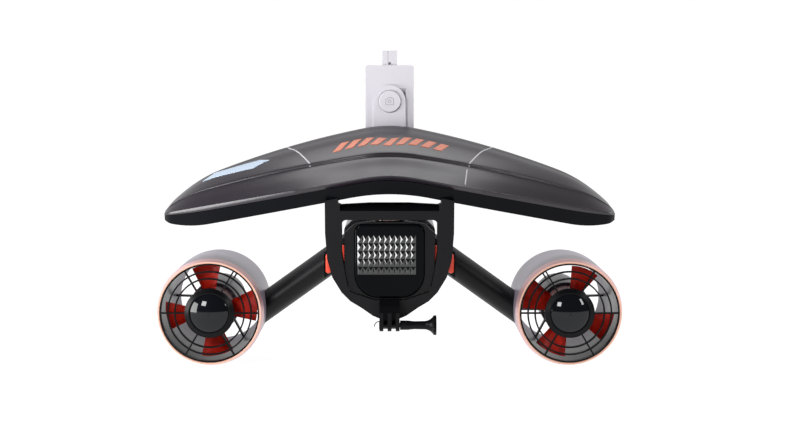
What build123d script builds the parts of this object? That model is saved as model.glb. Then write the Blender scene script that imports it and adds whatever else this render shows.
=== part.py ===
from build123d import *
import math
import os

# Twin-duct hand-held underwater scooter.  Millimetres, +Z up, the front faces -Y.
# The origin is on the ground, below the middle of the whole scooter.

# ---------------------------------------------------------------- driving dimensions
rim_front = -65.0            # depth of the front plane of both ducts; depths below count from it

# Ducts
duct_x = 189.0               # duct axis to the middle plane
duct_radius = 56.5
duct_z = duct_radius         # the ducts stand on the ground
duct_length = 140.0
duct_straight = 95.0
duct_tail_radius = 50.0
shell_wall = 2.3
liner_wall = 2.3
rim_depth = 12.0
rim_lip_radius = 52.4
rim_face_radius = 54.2       # the rim's narrow front face ends here and a long bevel begins
grille_bar = 1.6
grille_depth = 3.5
grille_rings = (36.3, 43.7)
grille_spokes = 6
grille_hub_radius = 26.2
dome_radius = 20.6
dome_bulge = 7.0

# Propulsion
blade_count = 4
blade_tip_radius = 48.5
blade_width_angle = 41.0     # degrees that one blade covers, seen from the front
prop_hub_radius = 24.0
prop_front = 12.0
prop_back = 44.0
can_radius = 26.4
can_front = 47.0
can_back = 130.0
can_wall = 2.5
strut_thickness = 8.6
stator_front = 64.0
stator_length = 14.0
rear_bearing_front = 78.0
shaft_back = 83.0
shaft_radius = 3.0
running_gap = 0.08
vane_angles = (178.0, 58.0, 298.0)   # left duct; the right duct mirrors them
vane_thickness = 1.8
vane_front = 125.0
vane_back = 133.0
first_blade_left = 7.0
first_blade_right = 67.0

# Pod
pod_half_width = 47.0
pod_top = 157.0
pod_bottom = 78.0
pod_wall = 3.0
pod_split = 118.0
pod_joint_radius = 3.0       # screw boss radius
boss_x = 41.4
screw_depths = (-9.0, 20.0, 136.0)
bezel_front = -42.0
pod_front = -17.0
pod_back = 150.0
tail_back = 190.0
bay_back = 118.0
eye_depth = 194.0
eye_z = 112.0
eye_bore = 3.0

# Display, power button and lock knob
display_half_width = 22.0
display_front = 84.0
display_back = 112.0
display_sink = 1.5
power_depth = 132.0
power_radius = 6.5
knob_depth = -23.0
knob_radius = 15.5
knob_low = 157.3
knob_high = 160.0
knob_stem = 3.0

# Battery, which slides out through the bezel
battery_half_width = 33.5
battery_low = 85.0
battery_high = 150.5
battery_back = 112.0
bay_gap = 0.5
bay_wall = 2.0
lens_half_width = 35.6
lens_low = 78.9
lens_high = 154.5
lens_front = -44.0
cell_radius = 9.0
cell_length = 61.0

# Handle arms
arm_depth = 60.0             # depth of the arm's centre line
arm_height = 29.0
arm_thickness = 42.0
arm_root = (46.0, 119.3)
arm_tip = (133.7, 56.5)
cable_radius = 2.0
channel_radius = 2.8

# Triggers; "along" runs outward from the arm's root and "across" is square to it
trigger_inner_x = 47.5
trigger_outer_x = 68.5
trigger_front = 34.6
trigger_back = 40.0
pocket_outer_x = 70.2
pocket_floor = 47.0
pin_along = 12.0
pin_across = -1.0
pin_depth = 43.0
pin_radius = 1.2
ear_radius = 2.4

# Loop bracket that carries the float
loop_front = -44.0
loop_back = -18.0
slot_half_width = 52.5

# Float
half_span = 241.0
float_wall = 3.2
inlay_depth = 0.8

# Camera mount
mount_half_width = 10.2
finger_thickness = 4.0
screw_axis_depth = -56.0
screw_axis_z = 52.8
screw_radius = 2.5
finger_radius = 6.3

# Mast
mast_half_width = 25.6
mast_front = 47.0
mast_thickness = 16.0
mast_bottom = 196.0
mast_top = 315.8
mast_recess_x = 17.0         # the front plate steps back beyond this, low on the right
button_z = 277.6
button_radius = 11.7

model = {}


# ---------------------------------------------------------------- helpers
def depth(value):
    """Turn a depth behind the rim plane into the model's Y."""
    return rim_front + value


def slab(outline, front, back):
    """Extrude an outline drawn as X across and Z up between two depths."""
    placed = Plane.XZ.offset(-depth(front)) * outline
    return extrude(placed, amount=back - front, dir=(0, 1, 0))


def mirrored(half):
    """Complete a right-hand outline, listed from top to bottom, with its mirror image."""
    return half + [(-across, up) for across, up in reversed(half)]


def rounded(points, radius):
    """A closed polygon whose corners are all rounded alike."""
    face = Polygon(*points, align=None)
    return fillet(face.vertices(), radius)


def turned(points, centre=(0, 0)):
    """Revolve (radius, depth) points about the Y axis through an X, Z centre."""
    section = make_face(Polyline(*[(radius, depth(y)) for radius, y in points], close=True))
    return Pos(centre[0], 0, centre[1]) * revolve(section, Axis.Y)


def rod(radius, front, back, centre=(0, 0)):
    """A cylinder along Y between two depths."""
    return slab(Pos(centre[0], centre[1]) * Circle(radius), front, back)


def block(x_range, depth_range, z_range):
    """A box given by its ranges."""
    width = x_range[1] - x_range[0]
    length = depth_range[1] - depth_range[0]
    height = z_range[1] - z_range[0]
    corner = (x_range[0], depth(depth_range[0]), z_range[0])
    return Pos(*corner) * Box(width, length, height, align=(Align.MIN, Align.MIN, Align.MIN))


def side_block(side, x_range, depth_range, z_range):
    """A box on one side: its X range counts outward from the middle plane."""
    ends = sorted(side * x for x in x_range)
    return block(ends, depth_range, z_range)


def post(radius, x, y, low, high):
    """A vertical cylinder."""
    base = Pos(x, depth(y), low)
    return base * Cylinder(radius, high - low, align=(Align.CENTER, Align.CENTER, Align.MIN))


# ---------------------------------------------------------------- pod
def pod_outline(inset=0.0, size=1.0, lift=0.0):
    """Cross-section of the pod's light body, which the tail shrinks and lifts."""
    middle = (pod_top + pod_bottom) / 2
    half = [
        (38.0 - inset * 0.6, pod_top - inset),
        (pod_half_width - inset, 148.0 - inset * 0.6),
        (pod_half_width - inset, 108.0),
        (42.0 - inset, 87.0 + inset * 0.6),
        (15.0, pod_bottom + inset),
    ]
    sized = [(across * size, middle + lift + (up - middle) * size) for across, up in half]
    return rounded(mirrored(sized), (7.0 - inset) * size)


def bezel_outline():
    """Cross-section of the dark nose bezel."""
    half = [
        (16.0, 156.4),
        (36.0, 154.2),
        (45.8, 145.0),
        (45.8, 108.0),
        (40.8, 86.6),
        (15.0, 77.6),
    ]
    return rounded(mirrored(half), 5.0)


def shield_outline(half_width, low, high, lower_radius, upper_radius):
    """An upright rectangle with wide round lower corners and tighter upper ones."""
    face = Polygon(
        (half_width, high), (half_width, low), (-half_width, low), (-half_width, high), align=None
    )
    face = fillet(face.vertices().sort_by(Axis.Y)[:2], lower_radius)
    return fillet(face.vertices().sort_by(Axis.Y)[-2:], upper_radius)


def lens_outline(gap=0.0):
    """Front outline of the battery's lens, grown by a gap."""
    return shield_outline(lens_half_width + gap, lens_low - gap, lens_high + gap, 25.0, 9.0)


def battery_outline(gap=0.0):
    """Cross-section of the battery case, grown by a gap."""
    return shield_outline(
        battery_half_width + gap, battery_low - gap, battery_high + gap, 20.0 + gap, 9.0 + gap
    )


def pod_screw(side, y):
    """One long cap screw that joins the two halves of the pod."""
    head = post(2.7, side * boss_x, y, 88.0, 91.0)
    shank = post(1.5, side * boss_x, y, 91.0, 127.0)
    drive = post(1.2, side * boss_x, y, 87.5, 89.5)
    return head + shank - drive


def pod_screw_hole(side, y):
    """The stepped hole for one pod screw."""
    return post(2.8, side * boss_x, y, 70.0, 91.0) + post(1.5, side * boss_x, y, 91.0, 127.0)


def build_pod(channels):
    bezel = slab(bezel_outline(), bezel_front, pod_front)
    bezel -= slab(lens_outline(0.4), bezel_front - 1, pod_front + 1)
    model["pod_bezel"] = bezel

    hollow = slab(pod_outline(), pod_front, pod_back)
    hollow -= slab(pod_outline(pod_wall), pod_front + pod_wall, pod_back + 1)
    mouth = slab(battery_outline(bay_gap + bay_wall), pod_front - 1, pod_front + pod_wall + 1)
    hollow -= mouth
    for side in (-1, 1):
        for y in screw_depths:
            boss = post(pod_joint_radius, side * boss_x, y, 88.5, 129.0)
            hollow += boss
            hollow -= pod_screw_hole(side, y)
    for channel in channels:
        hollow -= channel
    lower_half = block((-90, 90), (pod_front - 5, pod_back + 5), (0, pod_split))
    upper = hollow - lower_half
    lower = hollow & lower_half

    sunk = pod_top - display_sink
    wide = display_half_width
    display_pocket = block((-wide, wide), (display_front, display_back), (sunk, pod_top + 1))
    button_hole = post(power_radius + 0.4, 0, power_depth, pod_top - 5, pod_top + 1)
    upper = upper - display_pocket - button_hole
    model["pod_upper_shell"] = upper
    model["pod_lower_shell"] = lower
    model["display_window"] = block(
        (0.1 - wide, wide - 0.1), (display_front + 0.1, display_back - 0.1), (sunk, pod_top)
    )
    screws = [pod_screw(side, y) for side in (-1, 1) for y in screw_depths]
    model["pod_screws"] = screws

    bay = slab(battery_outline(bay_gap + bay_wall), pod_front, bay_back)
    bay -= slab(battery_outline(bay_gap), pod_front - 1, bay_back - bay_wall)
    model["battery_bay"] = bay

    board = block((-30, 30), (122, 147), (145.0, 146.6))
    board += block((-8, 8), (126, 138), (146.6, 149.0))
    board += block((14, 24), (128, 140), (146.6, 148.2))
    board += block((-26, -14), (130, 142), (146.6, 148.2))
    board += post(2.0, 0, power_depth, 149.0, 151.6)
    model["control_board"] = board


def build_power_button():
    cap = post(power_radius, 0, power_depth, pod_top - 2.6, pod_top + 1.6)
    rim = cap.edges().group_by(Axis.Z)[-1]
    model["power_button"] = chamfer(rim, 0.6)


def tail_section(y, size, lift):
    """The pod's outline, shrunk and lifted, at one depth of the tail."""
    return Plane.XZ.offset(-depth(y)) * pod_outline(0.0, size, lift)


def build_tail():
    outer = loft([
        tail_section(pod_back, 1.0, 0.0),
        tail_section(pod_back + 16.0, 0.95, 0.5),
        tail_section(pod_back + 32.0, 0.80, 1.5),
        tail_section(tail_back, 0.62, 2.5),
    ])
    inner = loft([
        tail_section(pod_back - 1.0, 0.93, 0.0),
        tail_section(pod_back + 16.0, 0.87, 0.5),
        tail_section(tail_back - 6.0, 0.66, 1.5),
    ])
    tail = outer - inner
    lug = block((-4, 4), (tail_back - 3, eye_depth), (eye_z - 6, eye_z + 6))
    lug += Pos(0, depth(eye_depth), eye_z) * Rot(0, 90, 0) * Cylinder(6.0, 8.0)
    lug -= Pos(0, depth(eye_depth), eye_z) * Rot(0, 90, 0) * Cylinder(eye_bore, 20.0)
    model["pod_tail_cap"] = tail
    model["tether_eye"] = lug - outer


def build_lock_knob():
    """Low round knob on the nose: a quarter turn frees the battery."""
    knob = post(knob_radius, 0, knob_depth, knob_low, knob_high)
    knob = chamfer(knob.edges().group_by(Axis.Z)[-1], 0.7)
    grips = [
        Pos(knob_radius * math.cos(turn), depth(knob_depth) + knob_radius * math.sin(turn), pod_top)
        * Cylinder(1.1, 12.0)
        for turn in [math.radians(angle) for angle in range(0, 360, 30)]
    ]
    for grip in grips:
        knob -= grip
    knob += post(knob_stem, 0, knob_depth, knob_low - 1.9, knob_low + 0.5)
    model["lock_knob"] = knob
    model["pod_bezel"] -= post(knob_stem + running_gap, 0, knob_depth, knob_low - 2.4, knob_low)


def build_battery():
    case = slab(battery_outline(), pod_front, battery_back)
    model["battery_case"] = case - slab(battery_outline(-2.5), pod_front - 1, battery_back - 3.0)
    cells = []
    for column in (-1, 0, 1):
        for row in (0, 1):
            for length in (0, 1):
                x = column * 2.2 * cell_radius
                z = battery_low + 22.0 + row * 2.6 * cell_radius
                front = pod_front + 0.5 + length * (cell_length + 0.5)
                cells.append(rod(cell_radius, front, front + cell_length, (x, z)))
    model["battery_cells"] = cells
    lens = slab(lens_outline(), lens_front, pod_front)
    edge = lens.faces().sort_by(Axis.Y)[0].edges()
    model["battery_lens"] = fillet(edge, 2.5)


# ---------------------------------------------------------------- handle arms
arm_dx = arm_tip[0] - arm_root[0]
arm_dz = arm_tip[1] - arm_root[1]
arm_length = math.hypot(arm_dx, arm_dz)
arm_slope = math.degrees(math.atan2(-arm_dz, arm_dx))


def arm_place(side, along=0.0, across=0.0, y=arm_depth):
    """A frame on the arm: local X runs outward along it, local Z up across it."""
    turn = Rot(0, arm_slope, 0) if side > 0 else Rot(0, 180 - arm_slope, 0)
    unit_x = arm_dx / arm_length
    unit_z = arm_dz / arm_length
    x = side * (arm_root[0] + along * unit_x - across * unit_z)
    z = arm_root[1] + along * unit_z + across * unit_x
    return Pos(x, depth(y), z) * turn


def arm_block(side, along, across, depths):
    """A box in the arm's frame: ranges along it, across it and in depth."""
    middle_along = (along[0] + along[1]) / 2
    middle_across = (across[0] + across[1]) / 2
    middle_depth = (depths[0] + depths[1]) / 2
    place = arm_place(side, middle_along, middle_across, middle_depth)
    return place * Box(along[1] - along[0], depths[1] - depths[0], across[1] - across[0])


def cable_path(side):
    """The motor lead: along the pod wall, out through the arm and into the duct strut."""
    corner_x = 41.0
    corner_z = arm_root[1] + (arm_root[0] - corner_x) * (-arm_dz / arm_dx)
    points = [
        (side * corner_x, depth(124.0), corner_z),
        (side * corner_x, depth(arm_depth), corner_z),
        (side * arm_tip[0], depth(arm_depth), arm_tip[1]),
        (side * (duct_x - can_radius + can_wall + 1.5), depth(arm_depth), arm_tip[1]),
    ]
    return FilletPolyline(*points, radius=[14.0, 22.0])


def tube_along(path, radius):
    """A round solid that follows a path."""
    return sweep(Plane(path @ 0, z_dir=path % 0) * Circle(radius), path=path)


def build_arm(side, name, channel):
    section = Plane.YZ * Ellipse(arm_thickness / 2, arm_height / 2)
    arm = arm_place(side, -20.0) * extrude(section, amount=arm_length + 40.0)
    arm -= slab(pod_outline(), pod_front - 20, pod_back + 20)
    arm -= rod(duct_radius, -5, duct_length + 5, (side * duct_x, duct_z))
    arm &= side_block(side, (40.0, duct_x), (-10, 150), (0, pod_top))
    arm -= side_block(side, (30.0, pocket_outer_x), (0, pocket_floor), (0, pod_top))
    for across in (-8.0, 6.0):
        arm += arm_place(side, pin_along, across, pin_depth) * Cylinder(ear_radius, 2.0)
        root = (pin_along - ear_radius, pin_along + ear_radius)
        arm += arm_block(side, root, (across - 1, across + 1), (pin_depth, pocket_floor + 2))
    arm -= arm_place(side, pin_along, pin_across, pin_depth) * Cylinder(pin_radius, 40.0)
    arm -= slab(pod_outline(), pod_front - 20, pod_back + 20)
    model[name + "_arm"] = arm - channel
    pin = arm_place(side, pin_along, pin_across, pin_depth) * Cylinder(pin_radius, 16.0)
    model[name + "_trigger_pin"] = pin


def build_trigger(side, name):
    """Curved paddle on the front of the arm, with a hinge barrel near its pod end."""
    outline = [
        (side * trigger_outer_x, 91.9),
        (side * trigger_outer_x, 114.1),
        (side * trigger_inner_x, 127.0),
        (side * trigger_inner_x, 105.5),
    ]
    paddle = slab(rounded(outline, 3.0), trigger_front, trigger_back)
    front_edges = paddle.faces().sort_by(Axis.Y)[0].edges()
    paddle = fillet(front_edges, 2.4)
    barrel = arm_place(side, pin_along, pin_across, pin_depth) * Cylinder(2.6, 11.2)
    web = arm_block(side, (pin_along - 2.6, pin_along + 2.6), (-6.6, 4.6), (trigger_back - 1, pin_depth))
    trigger = paddle + barrel + web
    bore = Cylinder(pin_radius + running_gap, 60.0)
    trigger -= arm_place(side, pin_along, pin_across, pin_depth) * bore
    trigger -= slab(pod_outline(-1.0), pod_front, pod_back)
    model[name + "_trigger"] = trigger


# ---------------------------------------------------------------- ducts
def build_duct(side, name, channel):
    centre = (side * duct_x, duct_z)
    rim = turned([
        (rim_lip_radius, 0.8),
        (rim_lip_radius + 0.6, 0.0),
        (rim_face_radius, 0.0),
        (duct_radius, rim_depth - 1.0),
        (duct_radius, rim_depth),
        (rim_lip_radius, rim_depth),
    ], centre)
    model[name + "_rim_ring"] = rim

    inner_radius = duct_radius - shell_wall
    outer_arc = TangentArc(
        (duct_radius, depth(duct_straight)), (duct_tail_radius, depth(duct_length)), tangent=(0, 1)
    )
    inner_arc = TangentArc(
        (inner_radius, depth(duct_straight)),
        (duct_tail_radius - shell_wall, depth(duct_length)),
        tangent=(0, 1),
    )
    outline = [
        Line((inner_radius, depth(duct_straight)), (inner_radius, depth(rim_depth))),
        Line((inner_radius, depth(rim_depth)), (duct_radius, depth(rim_depth))),
        Line((duct_radius, depth(rim_depth)), (duct_radius, depth(duct_straight))),
        outer_arc,
        Line(outer_arc @ 1, inner_arc @ 1),
        inner_arc,
    ]
    shell = Pos(centre[0], 0, centre[1]) * revolve(make_face(outline), Axis.Y)
    model[name + "_duct_shell"] = shell - channel

    liner_radius = inner_radius - liner_wall
    liner = turned([
        (liner_radius, rim_depth),
        (inner_radius, rim_depth),
        (inner_radius, duct_straight),
        (liner_radius + 0.8, duct_straight),
        (liner_radius, duct_straight - 12.0),
    ], centre)
    model[name + "_duct_liner"] = liner - channel
    build_grille(name, centre)
    build_motor(side, name, centre, channel, liner_radius)
    passage = make_face([
        Line((0, depth(duct_straight)), (inner_radius, depth(duct_straight))),
        inner_arc,
        Line(inner_arc @ 1, (0, depth(duct_length))),
        Line((0, depth(duct_length)), (0, depth(duct_straight))),
    ])
    tail_passage = Pos(centre[0], 0, centre[1]) * revolve(passage, Axis.Y)
    build_rear_vanes(side, name, centre, tail_passage)


def grille_pattern(radii, outer, hub, spokes, first_angle):
    """Round bars on a set of radii, tied together by straight spokes."""
    pattern = Circle(outer) - Circle(outer - grille_bar)
    for radius in radii:
        pattern += Circle(radius + grille_bar / 2) - Circle(radius - grille_bar / 2)
    for index in range(spokes):
        spoke = Pos((hub + outer) / 2, 0) * Rectangle(outer - hub, grille_bar)
        pattern += Rot(0, 0, first_angle + index * 360 / spokes) * spoke
    return pattern


def build_grille(name, centre):
    bars = grille_pattern(grille_rings, rim_lip_radius - 0.1, grille_hub_radius - 1.0, grille_spokes, 0)
    flat = Pos(*centre) * (bars + Circle(grille_hub_radius) - Circle(dome_radius))
    grille = slab(flat, 1.2, 1.2 + grille_depth)
    collar = turned([
        (dome_radius, -2.0),
        (dome_radius + 1.2, -2.0),
        (grille_hub_radius, 1.2),
        (dome_radius, 1.2),
    ], centre)
    model[name + "_front_grille"] = grille + collar
    sphere_radius = (dome_radius ** 2 + dome_bulge ** 2) / (2 * dome_bulge)
    start = depth(-1.0)
    dome = make_face([
        Line((0, depth(4.7)), (dome_radius, depth(4.7))),
        Line((dome_radius, depth(4.7)), (dome_radius, start)),
        RadiusArc((dome_radius, start), (0, start - dome_bulge), sphere_radius),
        Line((0, start - dome_bulge), (0, depth(4.7))),
    ])
    model[name + "_nose_cap"] = Pos(centre[0], 0, centre[1]) * revolve(dome, Axis.Y)


def build_motor(side, name, centre, channel, liner_radius):
    can = turned([
        (shaft_radius + 0.4, can_front),
        (can_radius - 2.0, can_front),
        (can_radius, can_front + 2.0),
        (can_radius, can_back),
        (0, can_back),
        (0, can_back - can_wall),
        (can_radius - can_wall, can_back - can_wall),
        (can_radius - can_wall, can_front + can_wall),
        (shaft_radius + 0.4, can_front + can_wall),
    ], centre)
    reach = liner_radius - can_radius + 0.6
    strut = Pos(-side * (can_radius - 0.6 + reach / 2), 0) * Rectangle(reach, strut_thickness)
    bar = slab(Pos(*centre) * strut, arm_depth - 7.0, arm_depth + 9.0)
    can += bar & rod(liner_radius, 0, duct_length, centre)
    model[name + "_motor_can"] = can - channel

    stator_radius = can_radius - can_wall
    stator = Circle(stator_radius) - Circle(stator_radius - 2.0)
    for index in range(9):
        tooth = Pos(stator_radius - 3.5, 0) * Rectangle(4.6, 3.2)
        stator += Rot(0, 0, index * 40) * tooth
    model[name + "_motor_stator"] = slab(Pos(*centre) * stator, stator_front, stator_front + stator_length)

    bearing_front = can_front + can_wall
    bearings = []
    for front in (bearing_front, rear_bearing_front):
        race = rod(8.0, front, front + 5.0, centre) - rod(shaft_radius + running_gap, front - 1, front + 6, centre)
        bearings.append(race)
    carrier = turned([
        (8.0, bearing_front),
        (can_radius - can_wall, bearing_front),
        (can_radius - can_wall, bearing_front + 2.0),
        (8.0, bearing_front + 2.0),
    ], centre)
    rear_carrier = turned([
        (8.0, rear_bearing_front + 1.0),
        (can_radius - can_wall, rear_bearing_front + 1.0),
        (can_radius - can_wall, rear_bearing_front + 3.0),
        (8.0, rear_bearing_front + 3.0),
    ], centre)
    model[name + "_motor_bearings"] = bearings + [carrier, rear_carrier]

    magnets = rod(stator_radius - 7.2, stator_front + 0.5, stator_front + stator_length - 0.5, centre)
    shaft = rod(shaft_radius, prop_front + 4.0, shaft_back, centre)
    model[name + "_motor_rotor"] = shaft + magnets
    build_propeller(side, name, centre)


def foil_corners(chord, thickness):
    """Six corners of a thin lens-shaped blade section."""
    nose = chord / 2
    flat = chord / 4
    half = thickness / 2
    return [(-nose, 0), (-flat, half), (flat, half), (nose, 0), (flat, -half), (-flat, -half)]


def build_propeller(side, name, centre):
    """Four-blade screw whose blades twist from a steep root to a flat tip."""
    hub = turned([
        (shaft_radius, prop_front + 4.0),
        (8.0, prop_front),
        (prop_hub_radius - 3.0, prop_front),
        (prop_hub_radius, prop_front + 3.0),
        (prop_hub_radius, prop_back),
        (prop_hub_radius - 2.5, prop_back),
        (prop_hub_radius - 2.5, prop_front + 8.0),
        (7.0, prop_front + 8.0),
        (7.0, prop_back - 4.0),
        (shaft_radius, prop_back - 4.0),
    ], centre)
    stations = (prop_hub_radius - 1.2, 32.0, 40.0, blade_tip_radius + 2.0)
    blade_depth = depth((prop_front + prop_back) / 2 - 4.0)
    sections = []
    for radius in stations:
        pitch = math.degrees(math.atan2(22.0, radius))
        seen = 2 * radius * math.sin(math.radians(blade_width_angle / 2))
        chord = seen / math.cos(math.radians(pitch))
        thickness = 3.0 - 1.2 * radius / blade_tip_radius
        foil = Rot(0, 0, 90 + side * pitch) * Polygon(*foil_corners(chord, thickness), align=None)
        sections.append(Plane.YZ.offset(radius) * foil)
    blade = loft(sections)
    blade = blade & (Rot(90, 0, 0) * Cylinder(blade_tip_radius, 60.0))
    screw = hub
    first_angle = first_blade_right if side > 0 else first_blade_left
    for index in range(blade_count):
        turn = Rot(0, -(first_angle + index * 360 / blade_count), 0)
        screw += Pos(centre[0], blade_depth, centre[1]) * turn * blade
    model[name + "_propeller"] = screw


def build_rear_vanes(side, name, centre, tail_passage):
    """Back plate of the motor can, held in the duct's tail by three thin vanes."""
    vanes = rod(can_radius, can_back, vane_back, centre)
    for angle in vane_angles:
        turn = Rot(0, 0, angle if side < 0 else 180.0 - angle)
        strip = Pos(*centre) * (turn * (Pos(can_radius + 15.0, 0) * Rectangle(34.0, vane_thickness)))
        vanes += slab(strip, vane_front, vane_back)
    vanes -= rod(can_radius, vane_front - 1, can_back, centre)
    model[name + "_rear_vanes"] = vanes & tail_passage


# ---------------------------------------------------------------- float
def span_share(x):
    return abs(x) / half_span


def tip_size(x):
    """Shrinks the float's section over its last stretch, which rounds the tip."""
    beyond = max(0.0, (span_share(x) - 0.95) / 0.05)
    return math.sqrt(1 - 0.80 * beyond ** 2)


def leading_depth(x):
    """Depth of the float's leading edge: a swept V with a soft apex."""
    return -70.0 + 108.0 * span_share(x) ** 1.3


def parting_z(x):
    """Height of the joint line between the float's two shells."""
    return 204.5 - 0.222 * abs(x)


def underside_z(x):
    """Height of the float's underside, with its middle ridge rounded off."""
    ridge = 40.0
    out = abs(x) if abs(x) > ridge else (x * x + ridge * ridge) / (2 * ridge)
    return 189.6 - 0.2136 * out


def float_points(x):
    """Corners of the float's section at one station, from the leading edge over the top."""
    lead = leading_depth(x)
    chord = 116.0 - 78.0 * span_share(x)
    edge = 208.0 - 0.205 * abs(x)
    crest = 253.0 - 0.17 * abs(x) - 0.0006 * x * x - 0.0042 * max(0.0, abs(x) - 180.0) ** 2
    crease = 223.0 - 0.13 * abs(x) - 0.0004 * x * x - 0.005 * max(0.0, abs(x) - 200.0) ** 2
    bottom = underside_z(x)
    points = [
        (lead, edge),
        (lead + 0.22 * chord, crease),
        (lead + 0.50 * chord, crease + 0.72 * (crest - crease)),
        (lead + 0.76 * chord, crest),
        (lead + 0.94 * chord, crest - 0.18 * (crest - bottom)),
        (lead + chord, crest - 0.50 * (crest - bottom)),
        (lead + 0.93 * chord, bottom + 0.12 * (crest - bottom)),
        (lead + 0.80 * chord, bottom),
        (lead + 0.14 * chord, bottom),
    ]
    middle_y = lead + 0.5 * chord
    middle_z = (crest + bottom) / 2
    size = tip_size(x)
    return [(middle_y + (y - middle_y) * size, middle_z + (z - middle_z) * size) for y, z in points]


def inset_points(points, distance):
    """Move every side of a clockwise (y, z) polygon inward by the same distance."""
    moved = []
    count = len(points)
    for index in range(count):
        before = Vector(*points[index - 1])
        here = Vector(*points[index])
        after = Vector(*points[(index + 1) % count])
        first = (here - before).normalized()
        second = (after - here).normalized()
        normal = (Vector(first.Y, -first.X) + Vector(second.Y, -second.X)).normalized()
        stretch = distance / max(0.5, normal.dot(Vector(first.Y, -first.X)))
        moved.append(((here + normal * stretch).X, (here + normal * stretch).Y))
    return moved


def float_half(inset):
    """One half of the float, from the middle plane to the right tip."""
    stations = (0.0, 16.0, 40.0, 70.0, 110.0, 150.0, 185.0, 210.0, 225.0, 234.0, half_span)
    sections = []
    for x in stations:
        place = min(x, half_span - inset)
        points = inset_points(float_points(x), inset)
        outline = Polygon(*[(depth(y), z) for y, z in points], align=None)
        sections.append(Plane.YZ.offset(place) * outline)
    return loft(sections, ruled=True)


def float_solid(inset):
    """The whole float, shrunk inward by an inset."""
    half = float_half(inset)
    return half + mirror(half, Plane.YZ)


def parting_cutter():
    """Everything above the float's parting line."""
    halves = []
    for side in (-1, 1):
        sections = []
        for x in (0.0, 130.0, half_span + 10.0):
            lead = leading_depth(x)
            parting = parting_z(x)
            trail = lead + 135.0
            outline = Polygon(
                (depth(lead - 30), parting),
                (depth(trail), parting),
                (depth(trail), 400),
                (depth(lead - 30), 400),
                align=None,
            )
            sections.append(Plane.YZ.offset(side * x) * outline)
        halves.append(loft(sections, ruled=True))
    return halves[0] + halves[1]


def seam_cutters():
    """Thin upright plates that mark the joint lines across the float's top."""
    plates = []
    for side in (-1, 1):
        lean = Rot(0, 0, side * -38.0)
        plates.append(Pos(side * 98.0, depth(12.0), 225.0) * lean * Box(1.1, 120.0, 120.0))
    return plates


def dash_outlines():
    """Slanted dashes, thinner towards the right, on the middle of the float."""
    dashes = []
    for index in range(9):
        x = -52.0 + index * 13.0
        length = 26.0 - 1.4 * abs(index - 4)
        dashes.append(Pos(x, depth(-14.0)) * Rot(0, 0, -32.0) * RectangleRounded(3.4, length, 1.6))
    return dashes


def build_float():
    outer = float_solid(0.0)
    skin_inner = float_solid(inlay_depth)
    core = float_solid(float_wall)
    skin = outer - skin_inner
    above = parting_cutter()
    upper = (outer - core) & above
    lower = (outer - core) - above

    seams = None
    for plate in seam_cutters():
        strip = (skin & plate) & above
        upper -= strip
        seams = strip if seams is None else seams + strip
    label_shape = Pos(-163.0, depth(47.0)) * Rot(0, 0, -28.0) * RectangleRounded(74.0, 17.0, 7.0)
    label = extrude(Pos(0, 0, 150) * label_shape, amount=150) & skin & above
    upper -= label
    badge = []
    for dash in dash_outlines():
        inlay = extrude(Pos(0, 0, 205) * dash, amount=80) & skin
        upper -= inlay
        badge.append(inlay)

    studs = [post(2.5, side * 58.0, y, 160.0, 184.0) for side in (-1, 1) for y in (-36.0, -26.0)]
    for stud in studs:
        lower -= stud
        core -= stud
    model["float_upper_shell"] = upper
    model["float_lower_shell"] = lower
    model["float_foam"] = core
    model["float_seams"] = seams
    model["float_label"] = label
    model["float_badge"] = badge
    model["bracket_studs"] = studs
    build_bracket(outer, studs)
    build_mast(outer)


# ---------------------------------------------------------------- loop bracket and camera mount
def build_bracket(float_body, studs):
    outer_half = [
        (6.0, 190.0),
        (65.8, 178.0),
        (65.6, 145.0),
        (63.4, 118.0),
        (58.3, 100.0),
        (48.9, 84.5),
        (40.0, 75.5),
        (29.0, 68.9),
        (17.0, 60.5),
        (10.0, 57.6),
    ]
    inner_half = [
        (48.8, 158.6),
        (48.8, 125.0),
        (45.4, 104.0),
        (41.3, 85.2),
        (15.2, 76.4),
    ]
    loop = Polygon(*mirrored(outer_half), align=None)
    window = rounded(mirrored(inner_half), 5.0)
    slot_half = [
        (slot_half_width, 200.0),
        (slot_half_width, 174.6),
        (slot_half_width - 3.0, 173.2),
        (20.0, 174.8),
    ]
    slot = Polygon(*mirrored(slot_half), align=None)
    bracket = slab(loop - window - slot, loop_front, loop_back)
    slope = [(loop_front - 1, 167.4), (loop_back - 3, 176.0), (loop_front - 1, 176.0)]
    bevel = Polygon(*[(depth(y), z) for y, z in slope], align=None)
    reach = slot_half_width - 2.0
    bracket -= extrude(Plane.YZ.offset(-reach) * bevel, amount=2 * reach)
    arch = post(knob_radius + 1.6, 0, knob_depth, 150.0, 161.4)
    bracket = bracket - arch - float_body
    for stud in studs:
        bracket -= stud
    model["float_bracket"] = bracket


def across_x(radius, start, end, y, z):
    """A cylinder along X at one depth and height."""
    middle = (start + end) / 2
    return Pos(middle, depth(y), z) * Rot(0, 90, 0) * Cylinder(radius, end - start)


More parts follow.
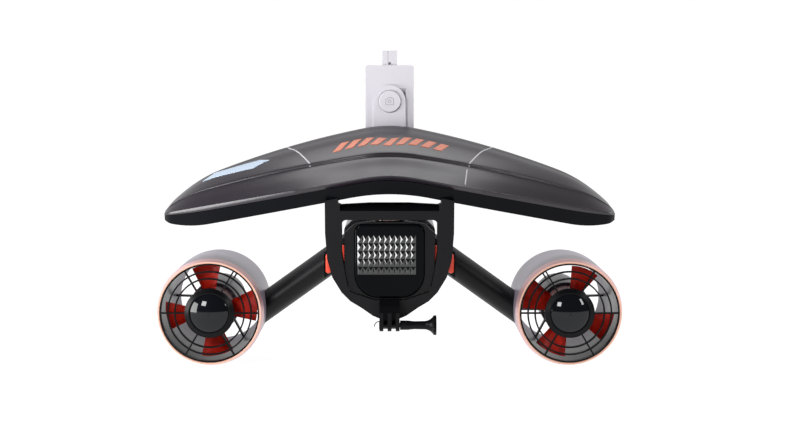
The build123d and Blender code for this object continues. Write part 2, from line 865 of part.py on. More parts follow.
def build_camera_mount():
    profile = [
        (-44.0, 77.8),
        (-49.0, 77.8),
        (-57.0, 72.0),
        (screw_axis_depth - finger_radius, 66.0),
        (screw_axis_depth - finger_radius, screw_axis_z),
        (screw_axis_depth + finger_radius, screw_axis_z),
        (screw_axis_depth + finger_radius, 60.0),
        (-44.0, 64.0),
    ]
    outline = Polygon(*[(depth(y), z) for y, z in profile], align=None)
    body = extrude(Plane.YZ.offset(-mount_half_width) * outline, amount=2 * mount_half_width)
    body += across_x(finger_radius, -mount_half_width, mount_half_width, screw_axis_depth, screw_axis_z)
    gap = (2 * mount_half_width - 3 * finger_thickness) / 2
    for side in (-1, 1):
        middle = side * (finger_thickness + gap) / 2
        body -= block((middle - gap / 2, middle + gap / 2), (-70, -49.0), (40, 66))
    body += block((-mount_half_width, mount_half_width), (-49.0, -46.0), (48.0, 65.0))
    body -= across_x(screw_radius + running_gap, -20, 20, screw_axis_depth, screw_axis_z)

    nut_face = -mount_half_width - 0.4
    nut = Plane.YZ * RegularPolygon(4.6, 6)
    nut = Pos(nut_face, depth(screw_axis_depth), screw_axis_z) * extrude(nut, amount=3.0)
    body -= nut
    nut -= across_x(screw_radius + running_gap, -30, 0, screw_axis_depth, screw_axis_z)
    hook_radius = 5.2
    hook_z = screw_axis_z - 1.4
    ring = Pos(-mount_half_width, depth(screw_axis_depth), hook_z) * Rot(90, 0, 0) * Torus(hook_radius, 0.45)
    quarter = block((-20.0, -mount_half_width), (-60.0, -52.0), (hook_z, hook_z + 8.0))
    model["mount_nut"] = nut + (ring & quarter)
    model["camera_mount"] = body


def build_thumbscrew():
    """Long thumbscrew along X: thread, sleeve, slim waist and a flared end disc."""
    profile = make_face([
        Polyline(
            (-mount_half_width, 0),
            (-mount_half_width, screw_radius),
            (mount_half_width + 0.4, screw_radius),
            (mount_half_width + 0.4, 4.8),
            (18.0, 4.8),
            (25.0, 4.1),
            (36.0, 4.3),
        ),
        TangentArc((36.0, 4.3), (44.6, 10.0), tangent=(1, 0.1)),
        Polyline((44.6, 10.0), (47.4, 10.0), (47.4, 0), (-mount_half_width, 0)),
    ])
    screw = revolve(profile, Axis.X)
    screw = Pos(0, depth(screw_axis_depth), screw_axis_z) * screw
    for index in range(12):
        turn = math.radians(index * 30)
        y = screw_axis_depth + 10.6 * math.cos(turn)
        z = screw_axis_z + 10.6 * math.sin(turn)
        screw -= across_x(1.4, 43.0, 50.0, y, z)
    model["thumbscrew"] = screw


# ---------------------------------------------------------------- mast
def build_mast(float_body):
    middle = mast_front + mast_thickness / 2
    back = mast_front + mast_thickness
    plate = Pos(0, (mast_top + mast_bottom) / 2) * RectangleRounded(
        2 * mast_half_width, mast_top - mast_bottom, 3.0
    )
    rear = slab(plate, middle, back)
    front = slab(plate, mast_front, middle)
    step = [(mast_front - 1, 293.0), (middle + 0.5, 280.0), (middle + 0.5, 190.0), (mast_front - 1, 190.0)]
    recess = Polygon(*[(depth(y), z) for y, z in step], align=None)
    front -= extrude(Plane.YZ.offset(mast_recess_x) * recess, amount=20.0)
    tongue_radius = 16.9
    tongue_low = 238.0
    tongue = Pos(0, button_z) * Circle(tongue_radius)
    tongue += Pos(0, (button_z + tongue_low) / 2) * Rectangle(2 * tongue_radius, button_z - tongue_low)
    tongue_front = mast_front - 4.0
    well = rod(button_radius + 0.4, tongue_front - 1, mast_front + 3.0, (0, button_z))
    front += slab(tongue, tongue_front, mast_front)
    model["mast_rear_shell"] = rear - float_body
    model["mast_front_shell"] = front - well - float_body
    screws = []
    for x in (-18.0, 10.0):
        for z in (206.0, 230.0):
            shank = rod(2.0, mast_front - 6.0, back - 2.0, (x, z))
            screws.append(shank + rod(3.6, back - 2.0, back, (x, z)))
    joined = ("mast_rear_shell", "mast_front_shell", "float_upper_shell", "float_foam", "float_lower_shell")
    for part_name in joined:
        for screw in screws:
            model[part_name] -= screw
    model["mast_screws"] = screws
    stem = block((-7.7, 7.7), (mast_front + 2.5, mast_front + 13.5), (mast_top, mast_top + 15.4))
    stem -= rod(1.6, mast_front, mast_front + 6.0, (0, mast_top + 1.8))
    model["mast_post"] = stem


def build_shutter_button():
    front = mast_front - 6.4
    cap = rod(button_radius, front, mast_front + 1.0, (0, button_z))
    cap = chamfer(cap.edges().group_by(Axis.Y)[0], 0.8)
    model["shutter_button"] = cap


# ---------------------------------------------------------------- assembly
channels = {}
for hand, label in ((-1, "left"), (1, "right")):
    route = cable_path(hand)
    channels[label] = tube_along(route, channel_radius)
    model[label + "_motor_cable"] = tube_along(route, cable_radius)

build_pod(list(channels.values()))
build_lock_knob()
build_power_button()
build_tail()
build_battery()
for hand, label in ((-1, "left"), (1, "right")):
    build_arm(hand, label, channels[label])
    build_trigger(hand, label)
    build_duct(hand, label, channels[label])
build_float()
build_camera_mount()
build_thumbscrew()
build_shutter_button()

os.makedirs("parts", exist_ok=True)
for name, shape in model.items():
    if isinstance(shape, list):
        shape = Compound(children=shape)
    export_step(shape, f"parts/{name}.step")
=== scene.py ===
import bpy
import bmesh
import math
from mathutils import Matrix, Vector


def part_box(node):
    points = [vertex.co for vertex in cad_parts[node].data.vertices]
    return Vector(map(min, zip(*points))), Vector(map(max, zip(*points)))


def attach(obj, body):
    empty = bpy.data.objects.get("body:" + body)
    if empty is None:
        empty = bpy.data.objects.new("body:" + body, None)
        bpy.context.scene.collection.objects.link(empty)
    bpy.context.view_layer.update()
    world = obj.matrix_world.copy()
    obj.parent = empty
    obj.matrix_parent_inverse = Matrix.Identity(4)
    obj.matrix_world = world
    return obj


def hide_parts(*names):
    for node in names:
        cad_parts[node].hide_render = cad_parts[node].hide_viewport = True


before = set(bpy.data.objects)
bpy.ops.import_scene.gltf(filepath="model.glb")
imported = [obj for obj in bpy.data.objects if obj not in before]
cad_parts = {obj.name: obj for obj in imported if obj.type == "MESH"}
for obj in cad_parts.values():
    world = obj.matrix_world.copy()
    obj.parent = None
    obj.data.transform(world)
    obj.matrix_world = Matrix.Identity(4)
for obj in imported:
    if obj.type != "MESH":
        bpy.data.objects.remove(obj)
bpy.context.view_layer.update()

MM = 0.001
RIM_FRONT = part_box("left_rim_ring")[0].y            # depth of the ducts' front plane
HALF_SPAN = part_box("float_upper_shell")[1].x / MM   # the float's half width, in millimetres

# Camera
SENSOR_WIDTH = 36.0
LENS_LENGTH = 73.4
CAMERA_DISTANCE = 1661.7    # in front of the ducts' front plane
CAMERA_HEIGHT = 302.3
CAMERA_SIDE = 3.0
CAMERA_TILT = 5.09          # degrees down
FAR_CLIP = 50.0

# Studio, in metres
FLOOR_REACH = 30.0
FLOOR_GLOW = 0.95
REFLECTED_FRONT = 0.10      # what gloss sees in front of the scooter
REFLECTED_BACK = 0.85       # what gloss sees behind it
TURN_START = -0.05          # where that change begins and ends, as the Y of a direction
TURN_END = 0.55

# Surface detail
SLOW_NOISE = 22.0
GRAIN_DEPTH = 0.0002
COAT_ROUGHNESS = 0.08
GLOSS_SPREAD = 0.12

# Float, in millimetres: heights at the middle, and how they fall with the distance out
RIDGE_HALF = 28.0           # half width of the rounding at the middle of the float's top
KEEL_HALF = 40.0            # the same for its underside
LEAD_MIDDLE = -70.0         # depth of the leading edge
LEAD_SWEEP = 108.0
LEAD_POWER = 1.3
CHORD_MIDDLE = 116.0
CHORD_TAPER = 78.0
EDGE_HEIGHT = 208.0
EDGE_FALL = 0.205
CREST_HEIGHT = 254.6
CREST_FALL = 0.17
CREST_CURVE = 0.0006
CREST_TIP_START = 180.0
CREST_TIP_CURVE = 0.0042
CREASE_HEIGHT = 224.2
CREASE_FALL = 0.13
CREASE_CURVE = 0.0004
CREASE_TIP_START = 200.0
CREASE_TIP_CURVE = 0.005
KEEL_HEIGHT = 189.6
KEEL_FALL = 0.2136
KEEL_TIP_START = 190.0
KEEL_TIP_CURVE = 0.004
TIP_START = 0.965           # share of the half span where the blunt tip begins
TIP_SHRINK = 0.5
STRAIGHT_SHARE = 0.94       # share of the half span with even stations
STRAIGHT_STATIONS = 44
TIP_STATIONS = 9
TOP_STEPS = 7
UNDER_STEPS = 4
PARTING_ABOVE = 0.24        # the two skins meet between these shares of the front face
PARTING_BELOW = 0.27
CRISP_TOP = 75.0
CRISP_UNDER = 28.0
FILM_THICKNESS = 0.6

# Battery lens, in millimetres
PRISM_COLUMNS = 11
PRISM_ROWS = 5
PRISM_WIDTH = 5.4
PRISM_TALL = 8.0
PRISM_RISE = 2.0
PRISM_SINK = 0.1
PRISM_BOTTOM = 103.0
PRISM_MARGIN = 3.0
CRISP_PRISM = 5.0

# Mast details, in millimetres
GLYPH_HEIGHT = 0.12
GLYPH_LENS_RADIUS = 1.9
GLYPH_LENS_SIDES = 20
# The grey strip on the mast's post is painted shade for its grooved line, not a cut
SHADE_STRIP_HALF = 0.3
SHADE_STRIP_HEIGHT = 0.05


def depth(mm):
    """Model Y of a depth, in millimetres, behind the ducts' front plane."""
    return RIM_FRONT + mm * MM


# ---------------------------------------------------------------- camera, light and stage
def build_camera():
    """A long lens in front of the scooter, a little above it and tilted down."""
    camera = bpy.data.cameras.new("camera")
    camera.sensor_width = SENSOR_WIDTH
    camera.lens = LENS_LENGTH
    camera.clip_end = FAR_CLIP
    holder = bpy.data.objects.new("camera", camera)
    bpy.context.scene.collection.objects.link(holder)
    holder.location = (CAMERA_SIDE * MM, depth(-CAMERA_DISTANCE), CAMERA_HEIGHT * MM)
    holder.rotation_euler = (math.radians(90.0 - CAMERA_TILT), 0.0, 0.0)
    bpy.context.scene.camera = holder


def area_light(name, place, target, size, power):
    """A rectangular softbox that looks at a point."""
    light = bpy.data.lights.new(name, "AREA")
    light.shape = "RECTANGLE"
    light.size, light.size_y = size
    light.energy = power
    holder = bpy.data.objects.new(name, light)
    bpy.context.scene.collection.objects.link(holder)
    holder.location = place
    aim = Vector(target) - Vector(place)
    holder.rotation_euler = aim.to_track_quat("-Z", "Y").to_euler()


def build_world():
    """White all round for the camera; for reflections and light, bright behind and dark in front."""
    world = bpy.data.worlds.new("studio")
    world.use_nodes = True
    nodes = world.node_tree.nodes
    links = world.node_tree.links
    background = nodes["Background"]
    place = nodes.new("ShaderNodeTexCoord")
    axes = nodes.new("ShaderNodeSeparateXYZ")
    links.new(place.outputs["Generated"], axes.inputs[0])
    behind = nodes.new("ShaderNodeMapRange")
    behind.interpolation_type = "SMOOTHSTEP"
    behind.inputs["From Min"].default_value = TURN_START
    behind.inputs["From Max"].default_value = TURN_END
    behind.inputs["To Min"].default_value = REFLECTED_FRONT
    behind.inputs["To Max"].default_value = REFLECTED_BACK
    links.new(axes.outputs["Y"], behind.inputs["Value"])
    ray = nodes.new("ShaderNodeLightPath")
    choose = nodes.new("ShaderNodeMix")
    links.new(ray.outputs["Is Camera Ray"], choose.inputs[0])
    links.new(behind.outputs["Result"], choose.inputs[2])
    choose.inputs[3].default_value = 1.0
    links.new(choose.outputs[0], background.inputs["Strength"])
    background.inputs["Color"].default_value = (1.0, 1.0, 1.0, 1.0)
    bpy.context.scene.world = world


def build_light():
    """A white studio with five softboxes: above, key, fill and one at each side."""
    bpy.context.scene.view_settings.view_transform = "Standard"
    build_world()
    middle = (0.0, 0.0, 0.15)
    area_light("softbox_top", (0.0, 0.26, 1.55), (0.0, 0.0, 0.2), (1.9, 0.55), 14.0)
    area_light("softbox_key", (-0.80, -1.30, 0.85), middle, (0.44, 0.44), 13.0)
    area_light("softbox_fill", (1.35, -0.85, 0.90), middle, (0.22, 0.55), 6.0)
    area_light("softbox_left", (-0.80, -0.30, 0.20), (0.0, -0.07, 0.12), (0.45, 0.36), 6.0)
    area_light("softbox_right", (1.80, 0.15, 0.50), (0.0, 0.0, 0.15), (0.6, 0.8), 8.0)


def build_floor():
    """A wide pale sheet that glows a little, so that it runs into the white ground."""
    mesh = bpy.data.meshes.new("floor")
    corners = [(-1, -1), (1, -1), (1, 1), (-1, 1)]
    mesh.from_pydata([(x * FLOOR_REACH, y * FLOOR_REACH, 0) for x, y in corners], [], [(0, 1, 2, 3)])
    floor = bpy.data.objects.new("floor", mesh)
    bpy.context.scene.collection.objects.link(floor)
    paper = moulded("floor_paper", (0.17, 0.17, 0.175), 0.9, 60.0, 0.05, mottle=0.01)
    shader = paper.node_tree.nodes["Principled BSDF"]
    shader.inputs["Specular IOR Level"].default_value = 0.0
    shader.inputs["Emission Color"].default_value = (1.0, 1.0, 1.0, 1.0)
    shader.inputs["Emission Strength"].default_value = FLOOR_GLOW
    floor.data.materials.append(paper)


# ---------------------------------------------------------------- materials
def moulded(
    name, colour, roughness, grain_scale=1400.0, grain=0.12, mottle=0.06, coat=0.0, metallic=0.0, shine=0.5
):
    """Moulded or coated surface: a fine grain in the bump, slow changes of tone and of gloss."""
    material = bpy.data.materials.new(name)
    material.use_nodes = True
    nodes = material.node_tree.nodes
    links = material.node_tree.links
    shader = nodes["Principled BSDF"]
    shader.inputs["Metallic"].default_value = metallic
    shader.inputs["Specular IOR Level"].default_value = shine
    shader.inputs["Coat Weight"].default_value = coat
    shader.inputs["Coat Roughness"].default_value = COAT_ROUGHNESS
    place = nodes.new("ShaderNodeTexCoord")

    slow = nodes.new("ShaderNodeTexNoise")
    slow.inputs["Scale"].default_value = SLOW_NOISE
    slow.inputs["Detail"].default_value = 4.0
    links.new(place.outputs["Object"], slow.inputs["Vector"])

    tone = nodes.new("ShaderNodeMix")
    tone.data_type = "RGBA"
    light = tuple(min(1.0, channel * (1 + mottle) + 0.002) for channel in colour) + (1.0,)
    dark = tuple(channel * (1 - mottle) for channel in colour) + (1.0,)
    tone.inputs[6].default_value = dark
    tone.inputs[7].default_value = light
    links.new(slow.outputs["Fac"], tone.inputs[0])
    links.new(tone.outputs[2], shader.inputs["Base Color"])

    gloss = nodes.new("ShaderNodeMapRange")
    gloss.inputs["To Min"].default_value = max(0.02, roughness * (1 - GLOSS_SPREAD))
    gloss.inputs["To Max"].default_value = min(1.0, roughness * (1 + GLOSS_SPREAD))
    links.new(slow.outputs["Fac"], gloss.inputs["Value"])
    links.new(gloss.outputs["Result"], shader.inputs["Roughness"])

    fine = nodes.new("ShaderNodeTexNoise")
    fine.inputs["Scale"].default_value = grain_scale
    fine.inputs["Detail"].default_value = 2.0
    links.new(place.outputs["Object"], fine.inputs["Vector"])
    bump = nodes.new("ShaderNodeBump")
    bump.inputs["Strength"].default_value = grain
    bump.inputs["Distance"].default_value = GRAIN_DEPTH
    links.new(fine.outputs["Fac"], bump.inputs["Height"])
    links.new(bump.outputs["Normal"], shader.inputs["Normal"])
    return material


def two_tone(material, front_colour, change_depth, blur=0.6):
    """Give a material another colour in front of a depth, along the model's Y."""
    nodes = material.node_tree.nodes
    links = material.node_tree.links
    shader = nodes["Principled BSDF"]
    back = shader.inputs["Base Color"].links[0].from_socket
    place = nodes.new("ShaderNodeTexCoord")
    axes = nodes.new("ShaderNodeSeparateXYZ")
    links.new(place.outputs["Object"], axes.inputs[0])
    ramp = nodes.new("ShaderNodeMapRange")
    ramp.inputs["From Min"].default_value = depth(change_depth - blur / 2)
    ramp.inputs["From Max"].default_value = depth(change_depth + blur / 2)
    links.new(axes.outputs["Y"], ramp.inputs["Value"])
    mix = nodes.new("ShaderNodeMix")
    mix.data_type = "RGBA"
    mix.inputs[6].default_value = front_colour + (1.0,)
    links.new(ramp.outputs["Result"], mix.inputs[0])
    links.new(back, mix.inputs[7])
    links.new(mix.outputs[2], shader.inputs["Base Color"])
    return material


charcoal = moulded("charcoal_satin", (0.0135, 0.0095, 0.0155), 0.30, shine=0.55)
charcoal_dark = moulded("charcoal_lower", (0.0018, 0.0021, 0.0036), 0.34, shine=0.07)
charcoal_frame = moulded("charcoal_frame", (0.0026, 0.0024, 0.0036), 0.45, shine=0.22)
lavender = moulded("lavender_satin", (0.235, 0.205, 0.255), 0.38, coat=0.1)
gloss_black = moulded("gloss_black", (0.002, 0.0026, 0.0045), 0.05, grain=0.01, shine=0.36)
lens_black = moulded("lens_black", (0.0015, 0.002, 0.003), 0.07, grain=0.01, shine=0.05)
prism_black = moulded("prism_black", (0.002, 0.0024, 0.0036), 0.05, grain=0.01, shine=0.9)
dark_plastic = moulded("dark_plastic", (0.0022, 0.0022, 0.0030), 0.34, shine=0.13)
liner_black = two_tone(
    moulded("liner_black", (0.17, 0.155, 0.19), 0.30, shine=0.25), (0.0025, 0.0025, 0.0035), 44.0, 16.0
)
rose_gold = two_tone(
    moulded("rose_gold", (0.66, 0.40, 0.41), 0.33, 2600.0, 0.08, metallic=0.3), (0.86, 0.50, 0.38), 0.9
)
red_orange = moulded("red_orange", (0.52, 0.014, 0.004), 0.34, shine=0.25)
trigger_red = moulded("trigger_red", (0.80, 0.055, 0.018), 0.36, coat=0.1)
copper = moulded("copper_satin", (0.50, 0.15, 0.085), 0.40, 2600.0, 0.08)
bronze = moulded("bronze_knob", (0.24, 0.17, 0.15), 0.30, metallic=0.7)
white_shell = moulded("white_satin", (0.62, 0.60, 0.65), 0.42, coat=0.1)
seam_grey = moulded("seam_grey", (0.45, 0.44, 0.48), 0.5)
# Grey of the button's pictogram, also used as painted shade on the mast's post
glyph_grey = moulded("glyph_grey", (0.36, 0.35, 0.38), 0.5)
label_blue = moulded("label_film", (0.36, 0.43, 0.52), 0.35, 500.0, 0.05, shine=0.3)
steel = moulded("steel_brushed", (0.45, 0.45, 0.47), 0.3, 2400.0, 0.1, metallic=1.0)
rubber = moulded("rubber_black", (0.012, 0.012, 0.012), 0.7)
foam = moulded("foam_cells", (0.60, 0.58, 0.50), 0.95, 400.0, 0.6)
winding = moulded("copper_wire", (0.75, 0.30, 0.12), 0.3, 3000.0, 0.3, metallic=1.0)
board_green = moulded("circuit_board", (0.02, 0.18, 0.08), 0.45)
cell_wrap = moulded("cell_wrap", (0.06, 0.16, 0.34), 0.3)

NODE_MATERIALS = {
    "battery_bay": dark_plastic,
    "battery_case": dark_plastic,
    "battery_cells": cell_wrap,
    "battery_lens": lens_black,
    "bracket_studs": steel,
    "camera_mount": dark_plastic,
    "control_board": board_green,
    "display_window": gloss_black,
    "float_badge": copper,
    "float_bracket": charcoal_frame,
    "float_foam": foam,
    "float_label": label_blue,
    "float_lower_shell": charcoal_dark,
    "float_seams": seam_grey,
    "float_upper_shell": charcoal,
    "lock_knob": bronze,
    "mast_front_shell": white_shell,
    "mast_post": white_shell,
    "mast_rear_shell": white_shell,
    "mast_screws": steel,
    "mount_nut": dark_plastic,
    "pod_bezel": charcoal_frame,
    "pod_lower_shell": lavender,
    "pod_screws": steel,
    "pod_tail_cap": charcoal,
    "pod_upper_shell": lavender,
    "power_button": red_orange,
    "shutter_button": white_shell,
    "tether_eye": steel,
    "thumbscrew": dark_plastic,
    "arm": charcoal_frame,
    "duct_liner": liner_black,
    "duct_shell": lavender,
    "front_grille": dark_plastic,
    "motor_bearings": steel,
    "motor_cable": rubber,
    "motor_can": lavender,
    "motor_rotor": steel,
    "motor_stator": winding,
    "nose_cap": gloss_black,
    "propeller": red_orange,
    "rear_vanes": dark_plastic,
    "rim_ring": rose_gold,
    "trigger": trigger_red,
    "trigger_pin": steel,
}


def dress_nodes():
    """Give every CAD node its material; left and right nodes share one."""
    for name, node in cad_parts.items():
        plain = name.replace("left_", "").replace("right_", "")
        node.data.materials.clear()
        node.data.materials.append(NODE_MATERIALS[plain])


# ---------------------------------------------------------------- mesh helpers
def make_piece(name, points, faces, material, body, sharp=35.0):
    """A mesh piece with smooth shading, kept crisp over edges sharper than an angle."""
    mesh = bpy.data.meshes.new(name)
    mesh.from_pydata([tuple(point) for point in points], [], faces)
    mesh.materials.append(material)
    mesh.polygons.foreach_set("use_smooth", [True] * len(mesh.polygons))
    mesh.set_sharp_from_angle(angle=math.radians(sharp))
    work = bmesh.new()
    work.from_mesh(mesh)
    bmesh.ops.recalc_face_normals(work, faces=work.faces)
    work.to_mesh(mesh)
    work.free()
    piece = bpy.data.objects.new(name, mesh)
    bpy.context.scene.collection.objects.link(piece)
    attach(piece, body)
    return piece


def loft_faces(rings, size):
    """Faces that join rings of equal size, all closed, with capped ends."""
    faces = []
    for ring in range(rings - 1):
        for index in range(size):
            after = (index + 1) % size
            low = ring * size
            high = low + size
            faces.append((low + index, low + after, high + after, high + index))
    faces.append(tuple(reversed(range(size))))
    faces.append(tuple(range((rings - 1) * size, rings * size)))
    return faces


def smooth_chain(points, steps):
    """A Catmull-Rom curve through every point of an open chain."""
    padded = [points[0]] + list(points) + [points[-1]]
    chain = []
    for index in range(1, len(padded) - 2):
        before, start, end, after = (Vector(padded[index + k]) for k in (-1, 0, 1, 2))
        for step in range(steps):
            t = step / steps
            chain.append(
                0.5 * (2 * start + (end - before) * t
                       + (2 * before - 5 * start + 4 * end - after) * t * t
                       + (3 * start - before - 3 * end + after) * t ** 3)
            )
    chain.append(Vector(points[-1]))
    return chain


# ---------------------------------------------------------------- float
def soft_abs(x, ridge=RIDGE_HALF):
    """Distance from the middle plane, with the ridge at the middle rounded off."""
    return abs(x) if abs(x) > ridge else (x * x + ridge * ridge) / (2 * ridge)


def float_section(x):
    """The float's section at one station in millimetres: top points, then underside points."""
    out = soft_abs(x)
    share = min(1.0, abs(x) / HALF_SPAN)
    lead = LEAD_MIDDLE + LEAD_SWEEP * (out / HALF_SPAN) ** LEAD_POWER
    chord = CHORD_MIDDLE - CHORD_TAPER * share
    edge = EDGE_HEIGHT - EDGE_FALL * out
    crest = CREST_HEIGHT - CREST_FALL * out - CREST_CURVE * out * out
    crest -= CREST_TIP_CURVE * max(0.0, out - CREST_TIP_START) ** 2
    crease = CREASE_HEIGHT - CREASE_FALL * out - CREASE_CURVE * out * out
    crease -= CREASE_TIP_CURVE * max(0.0, out - CREASE_TIP_START) ** 2
    bottom = KEEL_HEIGHT - KEEL_FALL * soft_abs(x, KEEL_HALF)
    bottom += KEEL_TIP_CURVE * max(0.0, out - KEEL_TIP_START) ** 2
    rise = crest - crease
    body = crest - bottom
    ledge = lead + 0.27 * chord
    top = [
        (lead, edge),
        (lead + 0.13 * chord, edge + 0.50 * (crease - edge)),
        (ledge, crease),
        (ledge + 0.08 * rise, crease + 0.17 * rise),
        (lead + 0.50 * chord, crease + 0.68 * rise),
        (lead + 0.66 * chord, crease + 0.90 * rise),
        (lead + 0.79 * chord, crest),
        (lead + 0.93 * chord, crest - 0.16 * body),
        (lead + chord, crest - 0.50 * body),
    ]
    under = [
        (lead + 0.93 * chord, bottom + 0.12 * body),
        (lead + 0.80 * chord, bottom),
        (lead + 0.14 * chord, bottom),
    ]
    beyond = max(0.0, (share - TIP_START) / (1 - TIP_START))
    size = math.sqrt(1 - TIP_SHRINK * beyond ** 2)
    middle = (lead + 0.5 * chord, (crest + bottom) / 2)

    def shrink(points):
        return [tuple(m + (c - m) * size for c, m in zip(point, middle)) for point in points]
    return shrink(top), shrink(under)


def float_stations():
    """Stations along the span, closer together towards the rounded tips."""
    straight = STRAIGHT_SHARE * HALF_SPAN
    tip = HALF_SPAN - straight
    right = [straight * step / STRAIGHT_STATIONS for step in range(STRAIGHT_STATIONS + 1)]
    for step in range(1, TIP_STATIONS + 1):
        right.append(straight + tip * math.sin(math.pi / 2 * step / TIP_STATIONS))
    return [-x for x in reversed(right[1:])] + right


def top_chain(x):
    """The float's top, from the sharp leading edge to the rear parting."""
    return smooth_chain(float_section(x)[0], TOP_STEPS)


def build_float():
    """Two solid skins, upper and lower, that meet at a thin parting line below the sharp edge."""
    stations = float_stations()
    upper_points = []
    lower_points = []
    for x in stations:
        top_points, under_points = float_section(x)
        edge = Vector(top_points[0])
        low = Vector(under_points[-1])
        part = edge.lerp(low, PARTING_ABOVE)
        gap = edge.lerp(low, PARTING_BELOW)
        ring = [part] + top_chain(x)
        upper_points += [Vector((x * MM, depth(p.x), p.y * MM)) for p in ring]
        rear = smooth_chain([top_points[-1]] + under_points, UNDER_STEPS)
        rear[0] = rear[0] - Vector((0.3, 0.5))
        lower_ring = rear + [gap]
        lower_points += [Vector((x * MM, depth(p.x), p.y * MM)) for p in lower_ring]
    upper_faces = loft_faces(len(stations), len(ring))
    lower_faces = loft_faces(len(stations), len(lower_ring))
    upper = make_piece("float_upper_skin", upper_points, upper_faces, charcoal, "scooter", CRISP_TOP)
    lower = make_piece("float_lower_skin", lower_points, lower_faces, charcoal_dark, "scooter", CRISP_UNDER)
    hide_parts("float_upper_shell", "float_foam")
    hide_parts("float_lower_shell")


def top_height(x, y):
    """Height of the float's top at a place, in millimetres."""
    chain = top_chain(x)
    for before, after in zip(chain, chain[1:]):
        if before.x <= y <= after.x:
            share = (y - before.x) / max(1e-6, after.x - before.x)
            return before.y + (after.y - before.y) * share
    return chain[-1].y


def surface_patch(name, outline, material, lift=0.35, rows=10, columns=24):
    """A thin film on the float's top: outline(u, v) gives x and depth for u, v from 0 to 1."""
    points = []
    for row in range(rows + 1):
        for column in range(columns + 1):
            x, y = outline(column / columns, row / rows)
            points.append(Vector((x * MM, depth(y), (top_height(x, y) + lift) * MM)))
    faces = []
    wide = columns + 1
    for row in range(rows):
        for column in range(columns):
            start = row * wide + column
            faces.append((start, start + 1, start + wide + 1, start + wide))
    patch = make_piece(name, points, faces, material, "scooter")
    thick = patch.modifiers.new("film", "SOLIDIFY")
    thick.thickness = FILM_THICKNESS * MM
    thick.offset = -1.0
    return patch


def build_seams():
    """The thin grey joint strips across the float's top."""
    for side, hand in ((-1, "left"), (1, "right")):
        def seam(u, v, side=side):
            return side * (111.0 - 29.5 * u + 1.3 * (v - 0.5)), 33.0 - 52.0 * u

        strip = surface_patch(f"float_seam_{hand}", seam, seam_grey, 0.15, 1, 40)
        if side < 0:
            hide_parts("float_seams")

    def short_seam(u, v):
        return 79.6 - 3.0 * u + 1.1 * (v - 0.5), -23.0 - 20.0 * u
    surface_patch("float_seam_right_front", short_seam, seam_grey, 0.12, 1, 16)


def build_label():
    """The pale-blue film near the left tip, with slanted ends."""
    tip_x = -200.0
    tip_slant = 13.0
    inner_x = -131.0
    inner_slant = 5.4
    width = 11.5
    tip_depth = 48.0

    def label(u, v):
        x = (tip_x + tip_slant * v) * (1 - u) + (inner_x + inner_slant * v) * u
        along = (x - tip_x) / 74.0
        middle = tip_depth - 41.0 * along + 6.0 * along * along
        across = width * min(1.0, 0.12 + 5 * (1 - u))
        return x, middle + across * (v - 0.5)
    film = surface_patch("float_label_film", label, label_blue, rows=12, columns=40)
    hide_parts("float_label")


def build_dashes():
    """Nine plain slanted dashes at the middle of the float."""
    count = 9
    first_x = -50.0
    pitch = 12.9
    dash_width = 8.5
    slant = 9.0
    dash_length = 11.0
    for index in range(count):
        def dash(u, v, index=index):
            x = first_x + index * pitch + dash_width * (u - 0.5) + slant * (v - 0.5)
            return x, -20.0 + 0.15 * abs(x) + dash_length * (v - 0.5)
        bar = surface_patch(f"float_dash_{index + 1}", dash, copper, 0.3, 10, 6)
        if index == 0:
            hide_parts("float_badge")


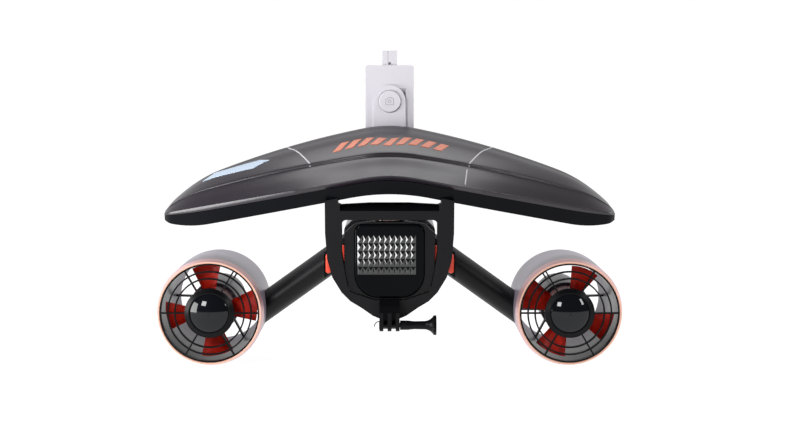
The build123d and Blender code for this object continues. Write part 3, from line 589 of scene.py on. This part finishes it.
# ---------------------------------------------------------------- battery lens
def build_lens_prisms():
    """A field of small four-sided pyramids on the battery's glossy front."""
    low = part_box("battery_lens")[0]
    pitch_x = PRISM_WIDTH * MM
    pitch_z = PRISM_TALL * MM
    base_y = low.y - PRISM_SINK * MM
    tip_y = low.y - PRISM_RISE * MM
    left = low.x + PRISM_MARGIN * MM
    bottom = PRISM_BOTTOM * MM
    points = []
    faces = []
    for row in range(PRISM_ROWS):
        for column in range(PRISM_COLUMNS):
            x0 = left + column * pitch_x
            z0 = bottom + row * pitch_z
            base = len(points)
            for dx, dz in ((0, 0), (1, 0), (1, 1), (0, 1)):
                points.append(Vector((x0 + dx * pitch_x, base_y, z0 + dz * pitch_z)))
            points.append(Vector((x0 + pitch_x * 0.5, tip_y, z0 + pitch_z * 0.5)))
            for corner in range(4):
                faces.append((base + corner, base + (corner + 1) % 4, base + 4))
            faces.append((base + 3, base + 2, base + 1, base))
    prisms = make_piece("lens_prisms", points, faces, prism_black, "battery", CRISP_PRISM)


# ---------------------------------------------------------------- mast details
def raised_outline(name, outline, width, centre, height, material, body):
    """A closed raised line round a centre on a face that looks along -Y."""
    points = []
    for px, pz in outline:
        for share, rise in ((1, 0), (1, height), (1 - width, height), (1 - width, 0)):
            points.append(centre + Vector((px * share, -rise, pz * share)) * MM)
    faces = []
    count = len(outline)
    for index in range(count):
        following = (index + 1) % count
        for corner in range(4):
            beside = (corner + 1) % 4
            here = 4 * index
            ahead = 4 * following
            faces.append((here + corner, here + beside, ahead + beside, ahead + corner))
    line = make_piece(name, points, faces, material, body)


def build_mast_details():
    """The button's camera pictogram, and a raised grey strip down the mast's top post, painted shade for its
    dark grooved line.
    """
    low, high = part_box("shutter_button")
    centre = Vector(((low.x + high.x) / 2, low.y, (low.z + high.z) / 2))
    camera_shape = [(-4.4, -4.0), (4.4, -4.0), (4.4, 2.4), (2.0, 4.4), (-1.4, 4.4), (-2.4, 2.6), (-4.4, 2.6)]
    turns = [2 * math.pi * step / GLYPH_LENS_SIDES for step in range(GLYPH_LENS_SIDES)]
    ring = [(GLYPH_LENS_RADIUS * math.cos(turn), GLYPH_LENS_RADIUS * math.sin(turn)) for turn in turns]
    body = "shutter_button"
    raised_outline("button_glyph_body", camera_shape, 0.16, centre, GLYPH_HEIGHT, glyph_grey, body)
    raised_outline("button_glyph_lens", ring, 0.36, centre, GLYPH_HEIGHT, glyph_grey, body)
    low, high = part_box("mast_post")
    middle = Vector((low.x + 0.38 * (high.x - low.x), low.y, (low.z + high.z) / 2 + 0.0015))
    half_tall = (high.z - low.z) / MM / 2 - 2.0
    corners = [(-1, -1), (1, -1), (1, 1), (-1, 1)]
    # A raised grey strip: painted shade where the post's grooved line falls dark
    shade_strip = [(across * SHADE_STRIP_HALF, up * half_tall) for across, up in corners]
    raised_outline("mast_post_groove", shade_strip, 0.98, middle, SHADE_STRIP_HEIGHT, glyph_grey, "scooter")


# ---------------------------------------------------------------- making
build_camera()
build_light()
build_floor()
dress_nodes()
build_float()
build_seams()
build_label()
build_dashes()
build_lens_prisms()
build_mast_details()
